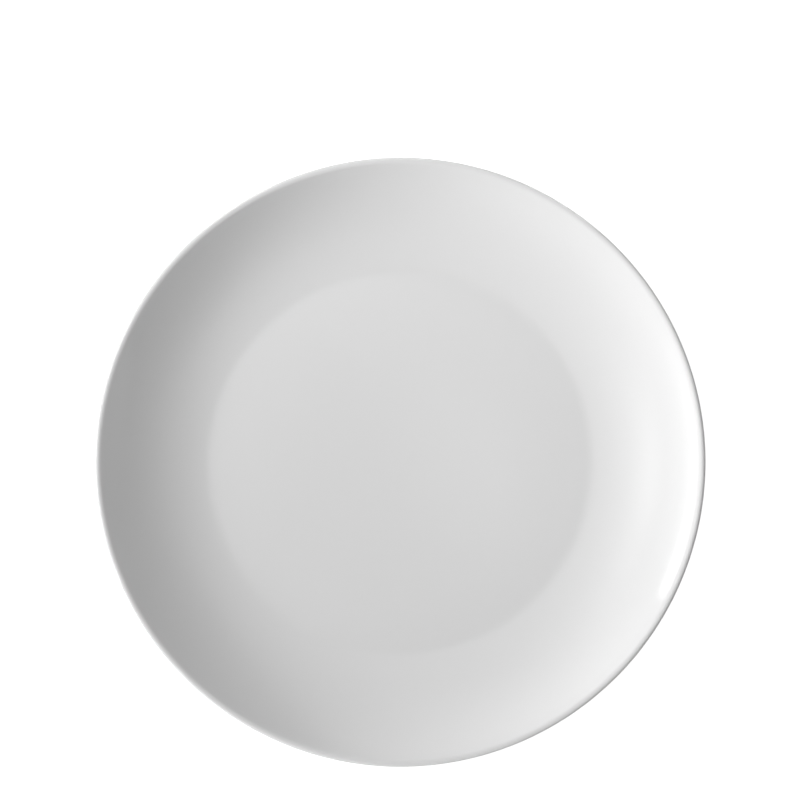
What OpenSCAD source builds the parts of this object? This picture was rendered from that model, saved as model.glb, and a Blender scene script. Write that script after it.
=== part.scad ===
// Coupe dinner plate of white porcelain: a fired clay body, the glaze over its face, lip and outer underside,
// and the patch of glaze inside its foot ring. Millimetres, +Z up, the foot's seat on Z = 0, centred on Z.

/* [Plate] */
// Diameter over the glazed lip
plate_d = 270; // [220:1:330]
// Thickness of the clay in the well
well_t = 4.4; // [3:0.1:6]
// Thickness of the clay at the lip
lip_t = 2.5; // [2:0.1:4.5]
// Length of the lip's oval end
lip_reach = 2.3; // [1.5:0.1:3]
// Thickness of the glaze
glaze_t = 0.3; // [0.15:0.05:0.6]

/* [Face curve] */
// Diameter of the level middle of the well
level_d = 84; // [40:1:110]
// Width of the crease between well and wall
crease_w = 3.5; // [3:0.5:10]
// Width of the lower part of the wall
lower_wall_w = 15.5; // [8:0.5:22]
// Width of the upper part of the wall
upper_wall_w = 26; // [16:0.5:32]
// Width of the straight band at the top of the wall, below the lip
rim_w = 3; // [1:0.5:9]
// Angle by which the well falls away at the crease, in degrees
fall_angle = 1.3; // [0:0.1:3]
// Angle of the wall where it leaves the crease, in degrees
crease_angle = 7.5; // [3:0.1:10]
// Angle of the wall where its two parts meet, in degrees
bend_angle = 13; // [10:0.1:20]
// Angle of the wall at the rim, in degrees
rim_angle = 31.8; // [24:0.1:42]

/* [Foot ring] */
// Height of the foot below the clay floor of its recess
foot_h = 3.2; // [2.2:0.1:6]
// Width of the foot where its root fillets run out
foot_w = 7.2; // [6.2:0.1:12]
// Distance of the foot's middle from the crease's middle, towards the centre
foot_inset = 3; // [0:0.5:12]
// Lean of the foot's flanks, in degrees
draft_angle = 14; // [4:1:20]
// Radius of the fillets at the foot's root
root_r = 1.8; // [1:0.1:2.4]
// Radius of the edges of the seat
seat_edge_r = 0.8; // [0.3:0.1:1.2]
// Share of each flank that the glaze leaves bare
bare_share = 0.3; // [0:0.05:0.8]

/* [Hidden] */
$fn = 180;

// Greatest distance of a chord from the arc that it stands for
arc_fit = 0.015;

// The lip's section is half an oval, which reaches on along the wall's slope. Then the distances from the axis
// of the oval's centre and of the place where the face runs into it
lip_half = lip_t / 2;
lip_x = plate_d / 2 - glaze_t - norm([lip_reach * cos(rim_angle), lip_half * sin(rim_angle)]);
face_end_x = lip_x - lip_half * sin(rim_angle);

// The bands of the face, from the rim inwards
shoulder_x = face_end_x - rim_w;
bend_x = shoulder_x - upper_wall_w;
crease_out_x = bend_x - lower_wall_w;
crease_in_x = crease_out_x - crease_w;

// Places on the face, each with its distance from the axis and its slope. An arc joins each to the next.
stations = [
    [0, 0],
    [level_d / 2, 0],
    [crease_in_x, -fall_angle],
    [crease_out_x, crease_angle],
    [bend_x, bend_angle],
    [shoulder_x, rim_angle],
    [face_end_x, rim_angle]
];

// Along an arc, the sine of the slope grows evenly with the distance from the axis
slope_sines = [for (s = stations) [s[0], sin(s[1])]];
function slope(x) = asin(lookup(x, slope_sines));

// Rise of the face from the axis to x, as the sum of the arcs' chords
function chord_rise(x0, x1) = (x1 - x0) * tan((slope(x0) + slope(x1)) / 2);
function sum(v) = v * [for (value = v) 1];
function rise(x) = sum([for (i = [1 : len(stations) - 1])
    chord_rise(min(x, stations[i - 1][0]), min(x, stations[i][0]))]);

// Clay thickness: even across the well and the foot, then tapering to the lip
function clay_t(x) = lookup(x, [[crease_out_x, well_t], [face_end_x, lip_t]]);

// The foot's roots, as places on the face above them
foot_x = (crease_in_x + crease_out_x) / 2 - foot_inset;
foot_out_x = foot_x + foot_w / 2;
foot_in_x = foot_x - foot_w / 2;

// Height of the clay's face at the axis, which puts the seat on Z = 0
well_z = foot_h + well_t * cos(slope(foot_in_x)) - rise(foot_in_x);

// A mark is [x, z, direction of the outward normal]
function face_mark(x) = [x, well_z + rise(x), 90 + slope(x)];
function under_mark(x) =
    let (t = clay_t(x), s = slope(x))
    [x + t * sin(s), well_z + rise(x) - t * cos(s), s - 90];

// Marks along an arc about c: an outer round has its normals away from c, an inner one towards it
function chords(r, turn) = max(1, ceil(abs(turn) / (2 * acos(1 - arc_fit / r))));
function outer_round(c, r, from, to) =
    let (n = chords(r, to - from))
    [for (i = [0 : n]) let (a = from + (to - from) * i / n) [c[0] + r * cos(a), c[1] + r * sin(a), a]];
function inner_round(c, r, from, to) =
    [for (m = outer_round(c, r, from, to)) [m[0], m[1], m[2] - 180]];

// Centre of the lip's oval, and the angle on it that lies on the plate's outermost circle
lip_c = [lip_x, face_mark(face_end_x)[1] - lip_half * cos(rim_angle)];
lip_tip = -atan(lip_half * tan(rim_angle) / lip_reach);

// Marks along the oval, by the angle on it from its longer axis
function lip_mark(a) =
    let (along = lip_reach * cos(a), across = lip_half * sin(a))
    [lip_c[0] + along * cos(rim_angle) - across * sin(rim_angle),
     lip_c[1] + along * sin(rim_angle) + across * cos(rim_angle),
     rim_angle + atan2(lip_reach * sin(a), lip_half * cos(a))];
function lip_marks(from, to) =
    let (n = chords(max(lip_reach, lip_half), to - from))
    [for (i = [0 : n]) lip_mark(from + (to - from) * i / n)];

// Distances from the axis at which the face is marked, closer together where it turns more
function arc_steps(a, b) =
    let (turn = b[1] - a[1])
    turn == 0 ? 1 : chords((b[0] - a[0]) / abs(sin(b[1]) - sin(a[1])), turn);
face_xs = concat(
    [for (i = [1 : len(stations) - 1])
        let (a = stations[i - 1], b = stations[i], n = arc_steps(a, b))
        for (k = [0 : n - 1]) a[0] + (b[0] - a[0]) * k / n],
    [face_end_x]);
function backwards(list) = [for (i = [len(list) - 1 : -1 : 0]) list[i]];

// Each root fillet leaves the underside at a mark and ends where a flank starts
function root_centre(mark) = [mark[0] + root_r * cos(mark[2]), mark[1] + root_r * sin(mark[2])];
out_root = under_mark(foot_out_x);
in_root = under_mark(foot_in_x);
out_root_c = root_centre(out_root);
in_root_c = root_centre(in_root);
out_flank_top = [out_root_c[0] - root_r * cos(draft_angle), out_root_c[1] + root_r * sin(draft_angle)];
in_flank_top = [in_root_c[0] + root_r * cos(draft_angle), in_root_c[1] + root_r * sin(draft_angle)];

// The flanks lean together down to the round edges of the seat
flank_foot_z = seat_edge_r * (1 - sin(draft_angle));
out_flank_foot = [out_flank_top[0] - (out_flank_top[1] - flank_foot_z) * tan(draft_angle), flank_foot_z];
in_flank_foot = [in_flank_top[0] + (in_flank_top[1] - flank_foot_z) * tan(draft_angle), flank_foot_z];
out_edge_c = [out_flank_foot[0] - seat_edge_r * cos(draft_angle), seat_edge_r];
in_edge_c = [in_flank_foot[0] + seat_edge_r * cos(draft_angle), seat_edge_r];

// Where the glaze stops on the flanks
function between(a, b, part_share) = a + (b - a) * part_share;
out_stop = between(out_flank_foot, out_flank_top, bare_share);
in_stop = between(in_flank_foot, in_flank_top, bare_share);

// Stretches of the plate's outline, in order from the middle of the face round to the middle of the recess
face = [for (x = face_xs) face_mark(x)];
lip = concat(lip_marks(90, lip_tip), lip_marks(lip_tip, -90));
wall_under = [for (x = backwards(face_xs)) if (x > foot_out_x && x < face_end_x) under_mark(x)];
out_fillet = inner_round(out_root_c, root_r, out_root[2] + 180, 180 - draft_angle);
seat_edges = concat(
    outer_round(out_edge_c, seat_edge_r, -draft_angle, -90),
    outer_round(in_edge_c, seat_edge_r, -90, draft_angle - 180));
in_fillet = inner_round(in_root_c, root_r, draft_angle, in_root[2] + 180);
recess_floor = [for (x = backwards(face_xs)) if (x < foot_in_x) under_mark(x)];

// The marks that each glaze covers, and those of the whole body
coat_marks = concat(face, lip, wall_under, out_fillet, [[out_stop[0], out_stop[1], -draft_angle]]);
recess_marks = concat([[in_stop[0], in_stop[1], draft_angle - 180]], in_fillet, recess_floor);
body_marks = concat(face, lip, wall_under, out_fillet, seat_edges, in_fillet, recess_floor);

// Marks as points, lifted off the clay along their normals
function lifted(marks, t) = [for (m = marks) [m[0] + t * cos(m[2]), m[1] + t * sin(m[2])]];

// A glaze is the space between the clay's outline and the same outline lifted by the glaze's thickness
module glaze(marks) {
    rotate_extrude() polygon(concat(lifted(marks, glaze_t), backwards(lifted(marks, 0))));
}

// Fired clay: well, coupe wall, thin round lip and foot ring with its bare seat
module porcelain_body() {
    color("#EDE8DE") rotate_extrude() polygon(lifted(body_marks, 0));
}

// Clear glass over the face, round the lip and down the underside to the foot's outer flank
module glaze_coat() {
    color("#F6F7F6") glaze(coat_marks);
}

// Clear glass inside the foot ring
module recess_glaze() {
    color("#EFF1F1") glaze(recess_marks);
}

porcelain_body();
glaze_coat();
recess_glaze();
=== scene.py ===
import math
import bmesh
import bpy
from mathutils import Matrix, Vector


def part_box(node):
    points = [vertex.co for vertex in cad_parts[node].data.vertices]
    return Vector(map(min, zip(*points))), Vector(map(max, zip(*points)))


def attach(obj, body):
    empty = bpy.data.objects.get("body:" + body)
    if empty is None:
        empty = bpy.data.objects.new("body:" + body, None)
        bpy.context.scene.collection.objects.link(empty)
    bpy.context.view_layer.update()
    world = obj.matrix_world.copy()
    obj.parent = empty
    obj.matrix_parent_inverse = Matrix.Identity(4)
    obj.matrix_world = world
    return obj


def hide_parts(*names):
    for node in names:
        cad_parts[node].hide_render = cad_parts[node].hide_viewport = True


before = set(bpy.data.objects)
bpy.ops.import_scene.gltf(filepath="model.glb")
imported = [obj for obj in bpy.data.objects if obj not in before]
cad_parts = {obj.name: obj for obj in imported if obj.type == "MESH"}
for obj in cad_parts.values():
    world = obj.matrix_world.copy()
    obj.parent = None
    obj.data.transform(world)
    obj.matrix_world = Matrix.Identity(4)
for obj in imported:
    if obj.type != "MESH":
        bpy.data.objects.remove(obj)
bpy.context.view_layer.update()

# The plate's section, in metres and degrees, from the rim inwards and then down to the foot
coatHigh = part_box("glaze_coat")[1]
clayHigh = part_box("porcelain_body")[1]
section = {
    "radius": coatHigh.x,
    "lipTop": coatHigh.z,
    "glaze": coatHigh.x - clayHigh.x,
    "clayAtLip": 0.0025,
    "lipReach": 0.0023,
    "clayInWell": 0.0044,
    "rimBand": 0.003,
    "upperWall": 0.026,
    "lowerWall": 0.0155,
    "crease": 0.0035,
    "levelRadius": 0.042,
    "fallAngle": 1.3,
    "creaseAngle": 7.5,
    "bendAngle": 13.0,
    "rimAngle": 31.8,
    "footWidth": 0.0072,
    "footInset": 0.003,
    "draftAngle": 14.0,
    "rootRadius": 0.0018,
    "seatEdge": 0.0008,
    "bareShare": 0.3,
}
finish = {
    "faceStep": 0.0008,    # spacing of the rings on the face
    "blendWidth": 0.0022,  # over which one arc of the wall eases into the next
    "blendSamples": 4,     # slopes that are averaged on each side of a ring for that
    "roundStep": 8.0,      # degrees between the rings of a small round
    "lipSteps": (18, 10),  # steps round the lip above and below the plate's outermost circle
    "sectors": 16,         # equal sectors that the plate is spun in
    "sectorSteps": 16,     # steps across one sector
    "hiddenStep": 5,       # every how many rings the glaze's side against the clay keeps
    "clayStep": 2,         # the same for the clay under the glaze
    "beadShare": 1.25,     # thickness of the glaze's last bead, as a share of the glaze
    "mergeDistance": 1e-7,
}

# The lip's section is half an oval, whose longer half axis carries on the wall's slope
lipHalf, lipReach = section["clayAtLip"] / 2, section["lipReach"]
rimSlope = math.radians(section["rimAngle"])
draft = math.radians(section["draftAngle"])
lipOut = math.hypot(lipReach * math.cos(rimSlope), lipHalf * math.sin(rimSlope)) + section["glaze"]
lipX = section["radius"] - lipOut
lipRise = math.hypot(lipReach * math.sin(rimSlope), lipHalf * math.cos(rimSlope)) + section["glaze"]
faceEnd = lipX - lipHalf * math.sin(rimSlope)
shoulder = faceEnd - section["rimBand"]
bend = shoulder - section["upperWall"]
creaseOut = bend - section["lowerWall"]
creaseIn = creaseOut - section["crease"]
footX = (creaseIn + creaseOut) / 2 - section["footInset"]
footOut = footX + section["footWidth"] / 2
footIn = footX - section["footWidth"] / 2
stations = [
    (0.0, 0.0),
    (section["levelRadius"], 0.0),
    (creaseIn, -section["fallAngle"]),
    (creaseOut, section["creaseAngle"]),
    (bend, section["bendAngle"]),
    (shoulder, section["rimAngle"]),
    (section["radius"], section["rimAngle"]),
]


def slopeSine(x):
    # the sine of the slope grows evenly along an arc
    for (x0, a0), (x1, a1) in zip(stations, stations[1:]):
        if x <= x1:
            low, high = math.sin(math.radians(a0)), math.sin(math.radians(a1))
            return low + (high - low) * (x - x0) / (x1 - x0)
    return math.sin(rimSlope)


def slopeAt(x):
    # eased over a short width, so that highlights run over the joints between arcs without a kink
    half = finish["blendWidth"] / 2
    n = finish["blendSamples"]
    samples = [slopeSine(min(max(x + half * k / n, 0), section["radius"])) for k in range(-n, n + 1)]
    return math.asin(sum(samples) / len(samples))


def faceRings():
    count = math.ceil(faceEnd / finish["faceStep"])
    xs = [faceEnd * i / count for i in range(count + 1)]
    heights = [0.0]
    for x0, x1 in zip(xs, xs[1:]):
        heights.append(heights[-1] + (x1 - x0) * math.tan((slopeAt(x0) + slopeAt(x1)) / 2))
    base = section["lipTop"] - (heights[-1] - lipHalf * math.cos(rimSlope) + lipRise)
    return [(x, base + z) for x, z in zip(xs, heights)]


def heightAt(x):
    for (x0, z0), (x1, z1) in zip(rings, rings[1:]):
        if x <= x1:
            return z0 + (z1 - z0) * (x - x0) / (x1 - x0)
    return rings[-1][1]


# A mark is a place on the clay: (x, z, direction of its outward normal)
def faceMark(x):
    return x, heightAt(x), slopeAt(x) + math.pi / 2


def underMark(x):
    share = min(max((x - creaseOut) / (faceEnd - creaseOut), 0), 1)
    thickness = section["clayInWell"] + (section["clayAtLip"] - section["clayInWell"]) * share
    s = slopeAt(x)
    return x + thickness * math.sin(s), heightAt(x) - thickness * math.cos(s), s - math.pi / 2


def roundMarks(centre, radius, start, end, inward=False):
    count = max(2, math.ceil(abs(math.degrees(end - start)) / finish["roundStep"]))
    marks = []
    for i in range(count + 1):
        a = start + (end - start) * i / count
        marks.append((centre[0] + radius * math.cos(a), centre[1] + radius * math.sin(a),
                      a - inward * math.pi))
    return marks


def lipMark(t):
    along, across = lipReach * math.cos(t), lipHalf * math.sin(t)
    tilt = math.atan2(lipReach * math.sin(t), lipHalf * math.cos(t))
    return (lipCentre[0] + along * math.cos(rimSlope) - across * math.sin(rimSlope),
            lipCentre[1] + along * math.sin(rimSlope) + across * math.cos(rimSlope), rimSlope + tilt)


def rootCentre(mark):
    radius = section["rootRadius"]
    return mark[0] + radius * math.cos(mark[2]), mark[1] + radius * math.sin(mark[2])


def between(a, b, share):
    return a[0] + (b[0] - a[0]) * share, a[1] + (b[1] - a[1]) * share


def everyNth(marks, step):
    return marks[:-1:step] + marks[-1:]


def lifted(marks, thickness):
    return [(x + thickness * math.cos(a), z + thickness * math.sin(a)) for x, z, a in marks]


rings = faceRings()
xs = [x for x, z in rings]
face = [faceMark(x) for x in xs]
lipCentre = (lipX, rings[-1][1] - lipHalf * math.cos(rimSlope))
# the marks on the lip, in two runs that meet on the plate's outermost circle
lipTip = -math.atan(lipHalf * math.tan(rimSlope) / lipReach)
stepsAbove, stepsBelow = finish["lipSteps"]
lip = ([lipMark(math.pi / 2 + (lipTip - math.pi / 2) * i / stepsAbove) for i in range(stepsAbove + 1)]
       + [lipMark(lipTip + (-math.pi / 2 - lipTip) * i / stepsBelow) for i in range(1, stepsBelow + 1)])
wallUnder = [underMark(x) for x in reversed(xs) if footOut < x < faceEnd]
recessFloor = [underMark(x) for x in reversed(xs) if x < footIn]

# The foot: a fillet off the underside, a leaning flank and a round edge, on each side of the flat seat
outRoot, inRoot = underMark(footOut), underMark(footIn)
outCentre, inCentre = rootCentre(outRoot), rootCentre(inRoot)
outFillet = roundMarks(outCentre, section["rootRadius"], outRoot[2] + math.pi, math.pi - draft, True)
inFillet = roundMarks(inCentre, section["rootRadius"], draft, inRoot[2] + math.pi, True)
outTop, inTop = outFillet[-1], inFillet[0]
flankFoot = section["seatEdge"] * (1 - math.sin(draft))
outBottom = (outTop[0] - (outTop[1] - flankFoot) * math.tan(draft), flankFoot)
inBottom = (inTop[0] + (inTop[1] - flankFoot) * math.tan(draft), flankFoot)
edge = section["seatEdge"]
edgeReach = edge * math.cos(draft)
outEdge = roundMarks((outBottom[0] - edgeReach, edge), edge, -draft, -math.pi / 2)
inEdge = roundMarks((inBottom[0] + edgeReach, edge), edge, -math.pi / 2, draft - math.pi)
outStop = between(outBottom, outTop, section["bareShare"])
inStop = between(inBottom, inTop, section["bareShare"])


def newObject(name, data):
    made = bpy.data.objects.new(name, data)
    bpy.context.collection.objects.link(made)
    return made


def spunPiece(name, outline):
    bm = bmesh.new()
    verts = [bm.verts.new((x, 0, z)) for x, z in outline]
    edges = [bm.edges.new(pair) for pair in zip(verts, verts[1:])]
    sector = math.tau / finish["sectors"]
    bmesh.ops.spin(bm, geom=verts + edges, cent=(0, 0, 0), axis=(0, 0, 1), dvec=(0, 0, 0),
                   angle=sector, steps=finish["sectorSteps"], use_merge=False, use_duplicate=False)
    bmesh.ops.spin(bm, geom=bm.verts[:] + bm.edges[:] + bm.faces[:], cent=(0, 0, 0), axis=(0, 0, 1),
                   dvec=(0, 0, 0), angle=math.tau - sector, steps=finish["sectors"] - 1,
                   use_merge=False, use_duplicate=True)
    bmesh.ops.remove_doubles(bm, verts=bm.verts, dist=finish["mergeDistance"])
    bmesh.ops.recalc_face_normals(bm, faces=bm.faces)
    for f in bm.faces:
        f.smooth = True
    mesh = bpy.data.meshes.new(name)
    bm.to_mesh(mesh)
    bm.free()
    piece = newObject(name, mesh)
    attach(piece, "root")
    print(name, len(mesh.polygons), "faces")
    return piece


# Each glaze is lifted off the clay, ends in a round bead on the foot's flank and comes back along the clay
def bead(stop, start, end):
    return roundMarks(stop, section["glaze"] * finish["beadShare"], start, end)


def glazeOutline(marks, beadMarks, beadFirst):
    outer = lifted(marks, section["glaze"])
    hidden = lifted(everyNth(marks, finish["hiddenStep"]), 0)
    if beadFirst:
        return [(x, z) for x, z, a in reversed(beadMarks)] + outer + hidden[::-1]
    return outer + [(x, z) for x, z, a in beadMarks] + hidden[::-1]


coatMarks = face + lip + wallUnder + outFillet
coatBead = bead(outStop, -draft, -draft - math.pi / 2)
coat = spunPiece("face_glaze", glazeOutline(coatMarks, coatBead, False))
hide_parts("glaze_coat")

recessMarks = inFillet + recessFloor
recessBead = bead(inStop, draft - math.pi, draft - math.pi / 2)
recess = spunPiece("foot_recess_glaze", glazeOutline(recessMarks, recessBead, True))
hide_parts("recess_glaze")

clayFace, clayWall, clayFloor = (everyNth(marks, finish["clayStep"])
                                 for marks in (face, wallUnder, recessFloor))
bodyMarks = clayFace + lip + clayWall + outFillet + outEdge + inEdge + inFillet + clayFloor
body = spunPiece("clay_body", lifted(bodyMarks, 0))
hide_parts("porcelain_body")
print("plate pieces are in place")


# Materials
noiseSpread = 0.3, 0.7  # nearly all of a noise lies between these values


def newMaterial(name):
    material = bpy.data.materials.new(name)
    material.use_nodes = True
    material.node_tree.nodes.clear()
    return material


def node(tree, kind, **settings):
    made = tree.nodes.new(kind)
    for key, value in settings.items():
        setattr(made, key, value)
    return made


def setInputs(made, **values):
    for key, value in values.items():
        made.inputs[key.replace("_", " ")].default_value = value


def mathNode(tree, operation, a, b, clamp=False):
    made = node(tree, "ShaderNodeMath", operation=operation, use_clamp=clamp)
    for socket, value in zip(made.inputs, (a, b)):
        if isinstance(value, (int, float)):
            socket.default_value = value
        else:
            tree.links.new(value, socket)
    return made.outputs[0]


def mapped(tree, value, low, high, outLow, outHigh):
    made = node(tree, "ShaderNodeMapRange", interpolation_type="SMOOTHSTEP")
    made.inputs["From Min"].default_value = low
    made.inputs["From Max"].default_value = high
    made.inputs["To Min"].default_value = outLow
    made.inputs["To Max"].default_value = outHigh
    tree.links.new(value, made.inputs["Value"])
    return made.outputs["Result"]


def noise(tree, position, scale, detail, roughness=0.5):
    made = node(tree, "ShaderNodeTexNoise", noise_dimensions="3D")
    setInputs(made, Scale=scale, Detail=detail, Roughness=roughness)
    tree.links.new(position, made.inputs["Vector"])
    return made.outputs["Fac"]


def putOut(tree, kind, surface):
    tree.links.new(surface, node(tree, kind).inputs["Surface"])


def newGroup(name, inputs, outputs):
    group = bpy.data.node_groups.new(name, "ShaderNodeTree")
    for label, kind, default in inputs:
        socket = group.interface.new_socket(label, in_out="INPUT", socket_type=kind)
        if default is not None:
            socket.default_value = default
    for label, kind in outputs:
        group.interface.new_socket(label, in_out="OUTPUT", socket_type=kind)
    return group, node(group, "NodeGroupInput"), node(group, "NodeGroupOutput")


# Faint cloudiness of a fired surface, as a factor on its tone
def makeFiredCloud():
    group, enter, leave = newGroup(
        "firedCloud",
        [("Position", "NodeSocketVector", None), ("Patch Scale", "NodeSocketFloat", 20.0),
         ("Strength", "NodeSocketFloat", 0.01)],
        [("Factor", "NodeSocketFloat")])
    texture = node(group, "ShaderNodeTexNoise")
    setInputs(texture, Detail=3.0, Roughness=0.45)
    group.links.new(enter.outputs["Position"], texture.inputs["Vector"])
    group.links.new(enter.outputs["Patch Scale"], texture.inputs["Scale"])
    centred = mathNode(group, "SUBTRACT", texture.outputs["Fac"], 0.5)
    scaled = mathNode(group, "MULTIPLY", centred, enter.outputs["Strength"])
    group.links.new(mathNode(group, "ADD", scaled, 1.0), leave.inputs["Factor"])
    return group


# Sparse dark specks of iron in the clay: one in some of the cells
def makeIronSpecks():
    group, enter, leave = newGroup(
        "ironSpecks",
        [("Position", "NodeSocketVector", None), ("Cells", "NodeSocketFloat", 60.0),
         ("Rarity", "NodeSocketFloat", 0.95), ("Size", "NodeSocketFloat", 0.02)],
        [("Mask", "NodeSocketFloat")])
    cells = node(group, "ShaderNodeTexVoronoi", feature="F1")
    group.links.new(enter.outputs["Position"], cells.inputs["Vector"])
    group.links.new(enter.outputs["Cells"], cells.inputs["Scale"])
    split = node(group, "ShaderNodeSeparateColor")
    group.links.new(cells.outputs["Color"], split.inputs["Color"])
    chosen = mathNode(group, "GREATER_THAN", split.outputs["Red"], enter.outputs["Rarity"])
    near = mathNode(group, "DIVIDE", cells.outputs["Distance"], enter.outputs["Size"])
    core = mathNode(group, "SUBTRACT", 1.0, near, clamp=True)
    group.links.new(mathNode(group, "MULTIPLY", core, chosen), leave.inputs["Mask"])
    return group


firedCloud = makeFiredCloud()
ironSpecks = makeIronSpecks()


def placeGroup(tree, group, position, **values):
    made = node(tree, "ShaderNodeGroup", node_tree=group)
    tree.links.new(position, made.inputs["Position"])
    setInputs(made, **values)
    return made.outputs[0]


def cloudAndSpecks(tree, position, look):
    cloud = placeGroup(tree, firedCloud, position, Patch_Scale=look["cloudScale"],
                       Strength=look["cloudStrength"])
    specks = placeGroup(tree, ironSpecks, position, Cells=look["speckCells"],
                        Rarity=look["speckRarity"], Size=look["speckSize"])
    return cloud, mapped(tree, specks, 0.0, 1.0, 1.0, look["speckDark"])


def greyTone(tree, factors, tone):
    # one grey, times each factor
    value = mathNode(tree, "MULTIPLY", factors[0], tone)
    for factor in factors[1:]:
        value = mathNode(tree, "MULTIPLY", value, factor)
    made = node(tree, "ShaderNodeCombineColor")
    for socket in made.inputs:
        tree.links.new(value, socket)
    return made.outputs["Color"]


def radiusOf(tree, position):
    split = node(tree, "ShaderNodeSeparateXYZ")
    tree.links.new(position, split.inputs[0])
    squares = mathNode(tree, "ADD", mathNode(tree, "POWER", split.outputs["X"], 2.0),
                       mathNode(tree, "POWER", split.outputs["Y"], 2.0))
    return mathNode(tree, "SQRT", squares, 0.0), split.outputs["Z"]


def roughnessOf(tree, value, look):
    smoothest, roughest = (look["roughness"] * share for share in look["roughShares"])
    return mapped(tree, value, *noiseSpread, smoothest, roughest)


def bump(tree, height, distance):
    made = node(tree, "ShaderNodeBump")
    setInputs(made, Strength=1.0, Distance=distance)
    tree.links.new(height, made.inputs["Height"])
    return made


glazeLook = {
    "tone": 0.86,
    "roughness": 0.045,
    "ior": 1.5,
    "cloudScale": 16.0,
    "cloudStrength": 0.012,
    "peelScale": 190.0,      # waves of the glaze's surface, 5 mm long
    "peelDepth": 3.5e-6,
    "lipThin": 0.97,         # tone where the glaze runs thin over the lip
    "speckCells": 75.0,
    "speckRarity": 0.965,
    "speckSize": 0.016,
    "speckDark": 0.35,
    "hazeScale": 30.0,       # patches in which the gloss varies
    "roughShares": (0.85, 1.2),
}
# a little less smooth inside the foot ring
recessLook = {**glazeLook, "peelDepth": 6e-6, "roughness": 0.08}


def makeGlaze(name, look, thinAtLip):
    material = newMaterial(name)
    tree = material.node_tree
    position = node(tree, "ShaderNodeTexCoord").outputs["Object"]
    factors = list(cloudAndSpecks(tree, position, look))
    if thinAtLip:
        radius = radiusOf(tree, position)[0]
        factors.append(mapped(tree, radius, lipX, section["radius"], 1.0, look["lipThin"]))
    shader = node(tree, "ShaderNodeBsdfPrincipled")
    setInputs(shader, IOR=look["ior"])
    tree.links.new(greyTone(tree, factors, look["tone"]), shader.inputs["Base Color"])
    haze = noise(tree, position, look["hazeScale"], detail=4.0)
    tree.links.new(roughnessOf(tree, haze, look), shader.inputs["Roughness"])
    peel = bump(tree, noise(tree, position, look["peelScale"], detail=2.0), look["peelDepth"])
    tree.links.new(peel.outputs["Normal"], shader.inputs["Normal"])
    putOut(tree, "ShaderNodeOutputMaterial", shader.outputs[0])
    return material


clayLook = {
    "tone": 0.66,
    "roughness": 0.72,
    "cloudScale": 60.0,
    "cloudStrength": 0.08,
    "speckCells": 420.0,
    "speckRarity": 0.9,
    "speckSize": 0.12,
    "speckDark": 0.55,
    "grainScale": 2600.0,
    "grainDepth": 2.0e-5,
    "grainTones": (0.95, 1.04),
    "scratchScale": 5200.0,  # rings that the grinding disc leaves on the seat
    "scratchDepth": 6.0e-6,
    "groundHeight": 0.0002,  # up to which those rings reach
    "roughShares": (0.9, 1.1),
}


def makeClay(name, look):
    material = newMaterial(name)
    tree = material.node_tree
    position = node(tree, "ShaderNodeTexCoord").outputs["Object"]
    cloud, specks = cloudAndSpecks(tree, position, look)
    grain = noise(tree, position, look["grainScale"], detail=4.0, roughness=0.65)
    factors = [cloud, specks, mapped(tree, grain, *noiseSpread, *look["grainTones"])]
    shader = node(tree, "ShaderNodeBsdfPrincipled")
    tree.links.new(greyTone(tree, factors, look["tone"]), shader.inputs["Base Color"])
    tree.links.new(roughnessOf(tree, grain, look), shader.inputs["Roughness"])
    radius, height = radiusOf(tree, position)
    onSeat = mapped(tree, height, 0.0, look["groundHeight"], 1.0, 0.0)
    ringPlace = node(tree, "ShaderNodeCombineXYZ")
    tree.links.new(mathNode(tree, "MULTIPLY", radius, look["scratchScale"]), ringPlace.inputs[0])
    ringGrain = noise(tree, ringPlace.outputs[0], scale=1.0, detail=3.0)
    scratches = mathNode(tree, "MULTIPLY", ringGrain, onSeat)
    grained = bump(tree, grain, look["grainDepth"])
    scratched = bump(tree, scratches, look["scratchDepth"])
    tree.links.new(grained.outputs["Normal"], scratched.inputs["Normal"])
    tree.links.new(scratched.outputs["Normal"], shader.inputs["Normal"])
    putOut(tree, "ShaderNodeOutputMaterial", shader.outputs[0])
    return material


coat.data.materials.append(makeGlaze("clearGlaze", glazeLook, True))
recess.data.materials.append(makeGlaze("recessGlaze", recessLook, False))
body.data.materials.append(makeClay("firedClay", clayLook))
print("materials are in place")


# Studio: a pale floor in a dark room with soft lamps all round and overhead
studio = {
    "floorSize": 60.0,
    "floorGap": 0.00005,   # keeps the floor off the plane of the plate's seat
    "floorTone": 0.80,
    "floorGlow": 0.78,     # lifts the floor to white in the picture, and lights nothing
    "white": 1.25,         # lifts what the camera sees past the floor to white too
}
# Far soft boxes: azimuth from +X towards +Y, elevation, full width and full height in degrees, then
# the share of the half size over which the box fades out at its sides, its foot and its top
boxes = {
    "flank": {"azimuth": 226.7, "elevation": 12.7, "wide": 104.6, "high": 28.5,
              "sides": 0.41, "foot": 0.80, "top": 0.19, "radiance": 2.15},
    "back": {"azimuth": 109.2, "elevation": 50.5, "wide": 69.1, "high": 47.1,
             "sides": 0.53, "foot": 0.09, "top": 1.90, "radiance": 1.29},
    "front": {"azimuth": 264.6, "elevation": 45.1, "wide": 66.6, "high": 98.6,
              "sides": 0.93, "foot": 0.19, "top": 0.59, "radiance": 1.35},
    "high": {"azimuth": 177.1, "elevation": 63.4, "wide": 40.7, "high": 35.6,
             "sides": 0.93, "foot": 0.65, "top": 1.00, "radiance": 1.70},
    "fill": {"azimuth": -4.8, "elevation": 37.9, "wide": 26.3, "high": 12.2,
             "sides": 0.49, "foot": 0.45, "top": 1.73, "radiance": 0.35},
    "overhead": {"azimuth": 157.5, "elevation": 61.6, "wide": 39.4, "high": 32.3,
                 "sides": 0.80, "foot": 0.73, "top": 1.20, "radiance": 0.91},
}
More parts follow.
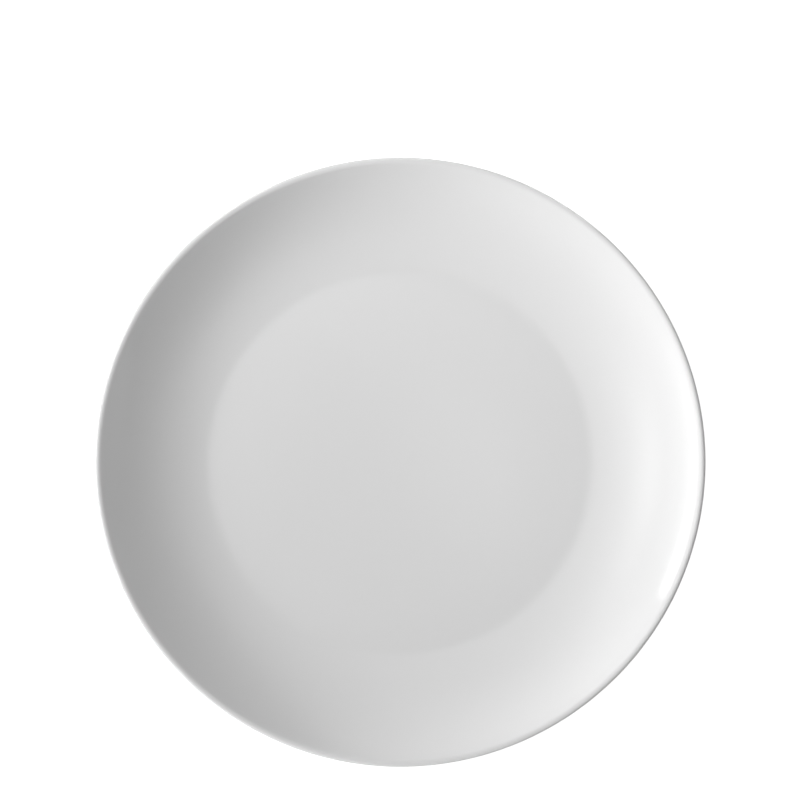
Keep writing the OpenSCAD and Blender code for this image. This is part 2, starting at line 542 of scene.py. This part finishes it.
# Curved panels round the plate, in degrees, and how far they climb per degree of their turn
panels = {
    "keyEdge": {"azimuth": 176.8, "wide": 47.3, "foot": 13.4, "top": 37.2, "sides": 1.0,
                "footFade": 6.3, "topFade": 1.7, "slant": -0.009, "radiance": 0.71},
    "key": {"azimuth": 176.2, "wide": 58.5, "foot": 12.0, "top": 33.6, "sides": 4.6,
            "footFade": 10.1, "topFade": 7.5, "slant": -0.011, "radiance": 14.00},
}
# Round soft lamps and reflectors. A negative radiance makes a dark flag, which shades the ceiling
discs = {
    "reflector": {"azimuth": 3.4, "elevation": 5.0, "wide": 69.1, "high": 74.7,
                  "edge": 0.07, "radiance": 0.420},
    "flag1": {"azimuth": 224.0, "elevation": 70.4, "wide": 67.7, "high": 67.7,
              "edge": 1.00, "radiance": -0.600},
    "flag2": {"azimuth": 29.5, "elevation": 55.4, "wide": 83.3, "high": 83.3,
              "edge": 1.00, "radiance": -0.591},
    "ceiling1": {"azimuth": 332.5, "elevation": 76.6, "wide": 27.0, "high": 27.0,
                 "edge": 1.00, "radiance": 0.454},
    "flag3": {"azimuth": 153.4, "elevation": 58.4, "wide": 65.7, "high": 65.7,
              "edge": 1.00, "radiance": -0.341},
    "ceiling2": {"azimuth": 55.6, "elevation": 80.0, "wide": 41.0, "high": 41.0,
                 "edge": 1.00, "radiance": 0.646},
    "ceiling3": {"azimuth": 67.2, "elevation": 63.0, "wide": 50.8, "high": 50.8,
                 "edge": 1.00, "radiance": 0.836},
    "flag4": {"azimuth": 129.0, "elevation": 84.8, "wide": 7.3, "high": 7.3,
              "edge": 1.00, "radiance": -0.382},
    "flag5": {"azimuth": 306.8, "elevation": 87.7, "wide": 9.9, "high": 9.9,
              "edge": 1.00, "radiance": -0.215},
    "ceiling4": {"azimuth": 78.9, "elevation": 86.0, "wide": 5.5, "high": 5.5,
                 "edge": 1.00, "radiance": 0.409},
    "flag6": {"azimuth": 108.6, "elevation": 87.7, "wide": 5.8, "high": 5.8,
              "edge": 1.00, "radiance": -0.476},
    "ceiling5": {"azimuth": 58.9, "elevation": 87.0, "wide": 6.9, "high": 6.9,
                 "edge": 1.00, "radiance": 0.413},
}
# Lamps that stand close by, so that their light falls off across the plate: metres and watts
nearLamps = {
    "near1": {"azimuth": 121.5, "elevation": 24.0, "distance": 0.60, "size": 0.16, "power": 0.662},
    "near2": {"azimuth": 58.9, "elevation": 18.7, "distance": 0.60, "size": 0.16, "power": 0.544},
}


def towards(azimuth, elevation):
    az, el = math.radians(azimuth), math.radians(elevation)
    return Vector((math.cos(el) * math.cos(az), math.cos(el) * math.sin(az), math.sin(el)))


def fade(tree, distance, width):
    made = node(tree, "ShaderNodeMapRange", interpolation_type="SMOOTHSTEP")
    tree.links.new(distance, made.inputs["Value"])
    tree.links.new(width, made.inputs["From Max"])
    return made.outputs["Result"]


def dot(tree, a, b):
    made = node(tree, "ShaderNodeVectorMath", operation="DOT_PRODUCT")
    tree.links.new(a, made.inputs[0])
    tree.links.new(b, made.inputs[1])
    return made.outputs["Value"]


# A mask on the direction that one looks in, from the shape that measure returns
def makeMask(name, vectors, values, measure):
    group, enter, leave = newGroup(
        name,
        [(label, "NodeSocketVector", None) for label in vectors]
        + [(label, "NodeSocketFloat", 0.5) for label in values],
        [("Mask", "NodeSocketFloat")])
    mask = None
    for part in measure(group, enter.outputs):
        mask = part if mask is None else mathNode(group, "MULTIPLY", mask, part)
    group.links.new(mask, leave.inputs["Mask"])
    return group


def onPlane(group, given):
    # place on the lamp's plane, in half widths and half heights, and whether it is ahead
    ahead = dot(group, given["Direction"], given["Facing"])
    x = mathNode(group, "DIVIDE", dot(group, given["Direction"], given["Across"]), ahead)
    y = mathNode(group, "DIVIDE", dot(group, given["Direction"], given["Upright"]), ahead)
    return x, y, mathNode(group, "GREATER_THAN", ahead, 0.0)


def boxParts(group, given):
    x, y, ahead = onPlane(group, given)
    fromSide = mathNode(group, "SUBTRACT", 1.0, mathNode(group, "ABSOLUTE", x, 0.0))
    return (ahead, fade(group, fromSide, given["Sides"]),
            fade(group, mathNode(group, "ADD", 1.0, y), given["Foot"]),
            fade(group, mathNode(group, "SUBTRACT", 1.0, y), given["Top"]))


def discParts(group, given):
    x, y, ahead = onPlane(group, given)
    squares = mathNode(group, "ADD", mathNode(group, "POWER", x, 2.0), mathNode(group, "POWER", y, 2.0))
    fromEdge = mathNode(group, "SUBTRACT", 1.0, mathNode(group, "SQRT", squares, 0.0))
    return ahead, fade(group, fromEdge, given["Edge"])


def panelParts(group, given):
    # angles across and up, the second turned by the panel's slant
    turn = mathNode(group, "ARCTAN2", dot(group, given["Direction"], given["Across"]),
                    dot(group, given["Direction"], given["Facing"]))
    climb = mathNode(group, "ARCSINE", dot(group, given["Direction"], given["Upright"]), 0.0)
    climb = mathNode(group, "SUBTRACT", climb, mathNode(group, "MULTIPLY", turn, given["Slant"]))
    fromSide = mathNode(group, "SUBTRACT", given["Half Width"], mathNode(group, "ABSOLUTE", turn, 0.0))
    return (fade(group, fromSide, given["Sides"]),
            fade(group, mathNode(group, "SUBTRACT", given["Top"], climb), given["Top Fade"]),
            fade(group, mathNode(group, "SUBTRACT", climb, given["Foot"]), given["Foot Fade"]))


lampAxes = ("Direction", "Facing", "Across", "Upright")
softBox = makeMask("softBox", lampAxes, ("Sides", "Foot", "Top"), boxParts)
softDisc = makeMask("softDisc", lampAxes, ("Edge",), discParts)
curvedPanel = makeMask("curvedPanel", lampAxes,
                       ("Half Width", "Top", "Foot", "Slant", "Sides", "Top Fade", "Foot Fade"), panelParts)


def addMask(tree, group, direction, azimuth, elevation, scale, radiance, **values):
    facing, across = towards(azimuth, elevation), towards(azimuth + 90, 0.0)
    upright = facing.cross(across)
    made = node(tree, "ShaderNodeGroup", node_tree=group)
    tree.links.new(direction, made.inputs["Direction"])
    setInputs(made, Facing=facing, Across=across / scale[0], Upright=upright / scale[1], **values)
    return mathNode(tree, "MULTIPLY", made.outputs["Mask"], radiance)


def addFlat(tree, group, direction, azimuth, elevation, wide, high, radiance, **fades):
    scale = math.tan(math.radians(wide / 2)), math.tan(math.radians(high / 2))
    return addMask(tree, group, direction, azimuth, elevation, scale, radiance,
                   **{key.title(): value for key, value in fades.items()})


def addPanel(tree, direction, azimuth, wide, foot, top, sides, footFade, topFade, slant, radiance):
    return addMask(tree, curvedPanel, direction, azimuth, 0.0, (1, 1), radiance,
                   Half_Width=math.radians(wide / 2), Foot=math.radians(foot), Top=math.radians(top),
                   Sides=math.radians(sides), Foot_Fade=math.radians(footFade),
                   Top_Fade=math.radians(topFade), Slant=slant)


def makeRoom():
    world = bpy.data.worlds.new("studioRoom")
    world.use_nodes = True
    tree = world.node_tree
    tree.nodes.clear()
    direction = node(tree, "ShaderNodeTexCoord").outputs["Generated"]
    seen = node(tree, "ShaderNodeLightPath").outputs["Is Camera Ray"]
    light = mathNode(tree, "MULTIPLY", seen, studio["white"])
    lamps = ([addFlat(tree, softBox, direction, **lamp) for lamp in boxes.values()]
             + [addFlat(tree, softDisc, direction, **lamp) for lamp in discs.values()]
             + [addPanel(tree, direction, **lamp) for lamp in panels.values()])
    for lamp in lamps:
        light = mathNode(tree, "ADD", light, lamp)
    light = mathNode(tree, "MAXIMUM", light, 0.0)
    sky = node(tree, "ShaderNodeBackground")
    tree.links.new(light, sky.inputs["Strength"])
    putOut(tree, "ShaderNodeOutputWorld", sky.outputs[0])
    bpy.context.scene.world = world


def placeFloor():
    material = newMaterial("paleFloor")
    tree = material.node_tree
    matte = node(tree, "ShaderNodeBsdfDiffuse")
    setInputs(matte, Color=(studio["floorTone"],) * 3 + (1,))
    glow = node(tree, "ShaderNodeEmission")
    seen = node(tree, "ShaderNodeLightPath").outputs["Is Camera Ray"]
    lift = mathNode(tree, "MULTIPLY", seen, studio["floorGlow"])
    tree.links.new(lift, glow.inputs["Strength"])
    both = node(tree, "ShaderNodeAddShader")
    tree.links.new(matte.outputs[0], both.inputs[0])
    tree.links.new(glow.outputs[0], both.inputs[1])
    putOut(tree, "ShaderNodeOutputMaterial", both.outputs[0])
    mesh = bpy.data.meshes.new("studioFloor")
    bm = bmesh.new()
    bmesh.ops.create_grid(bm, x_segments=1, y_segments=1, size=studio["floorSize"])
    bmesh.ops.translate(bm, verts=bm.verts, vec=(0, 0, -studio["floorGap"]))
    bm.to_mesh(mesh)
    bm.free()
    mesh.materials.append(material)
    floor = newObject("studioFloor", mesh)


def placeNearLamp(name, azimuth, elevation, distance, size, power):
    place = towards(azimuth, elevation)
    data = bpy.data.lights.new(name, "AREA")
    data.shape = "DISK"
    data.size = size
    data.energy = power
    lamp = newObject(name, data)
    lamp.location = place * distance
    lamp.rotation_euler = place.to_track_quat("Z", "Y").to_euler()
    lamp.visible_camera = False


makeRoom()
placeFloor()
for name, lamp in nearLamps.items():
    placeNearLamp(name, **lamp)

# Camera: almost straight above, leaning a little to the front
view = {
    "lens": 135.0,
    "sensor": 36.0,
    "leanLeft": -0.58,
    "leanFront": 4.93,
    "plateWidth": 0.7612,    # share of the picture's width that the plate covers
    "aim": (0.0, 0.02656),   # place on the rim's plane in the middle of the picture
    "rimDrop": 0.0024,       # how far below the top of the lip that plane lies
    "clipEnd": 100,
}
cameraData = bpy.data.cameras.new("photoCamera")
cameraData.lens = view["lens"]
cameraData.sensor_width = view["sensor"]
camera = newObject("photoCamera", cameraData)
leanLeft, leanFront = math.radians(view["leanLeft"]), math.radians(view["leanFront"])
rimHeight = section["lipTop"] - view["rimDrop"]
distance = 2 * section["radius"] / view["plateWidth"] * view["lens"] / view["sensor"]
towardsCamera = Vector((-math.sin(leanLeft) * math.cos(leanFront), -math.sin(leanFront),
                        math.cos(leanLeft) * math.cos(leanFront)))
camera.location = Vector((*view["aim"], rimHeight)) + towardsCamera * distance
camera.rotation_euler = (leanFront, -leanLeft, 0)
cameraData.clip_end = view["clipEnd"]
bpy.context.scene.camera = camera
bpy.context.scene.view_settings.view_transform = "Standard"
print("studio and camera are in place")
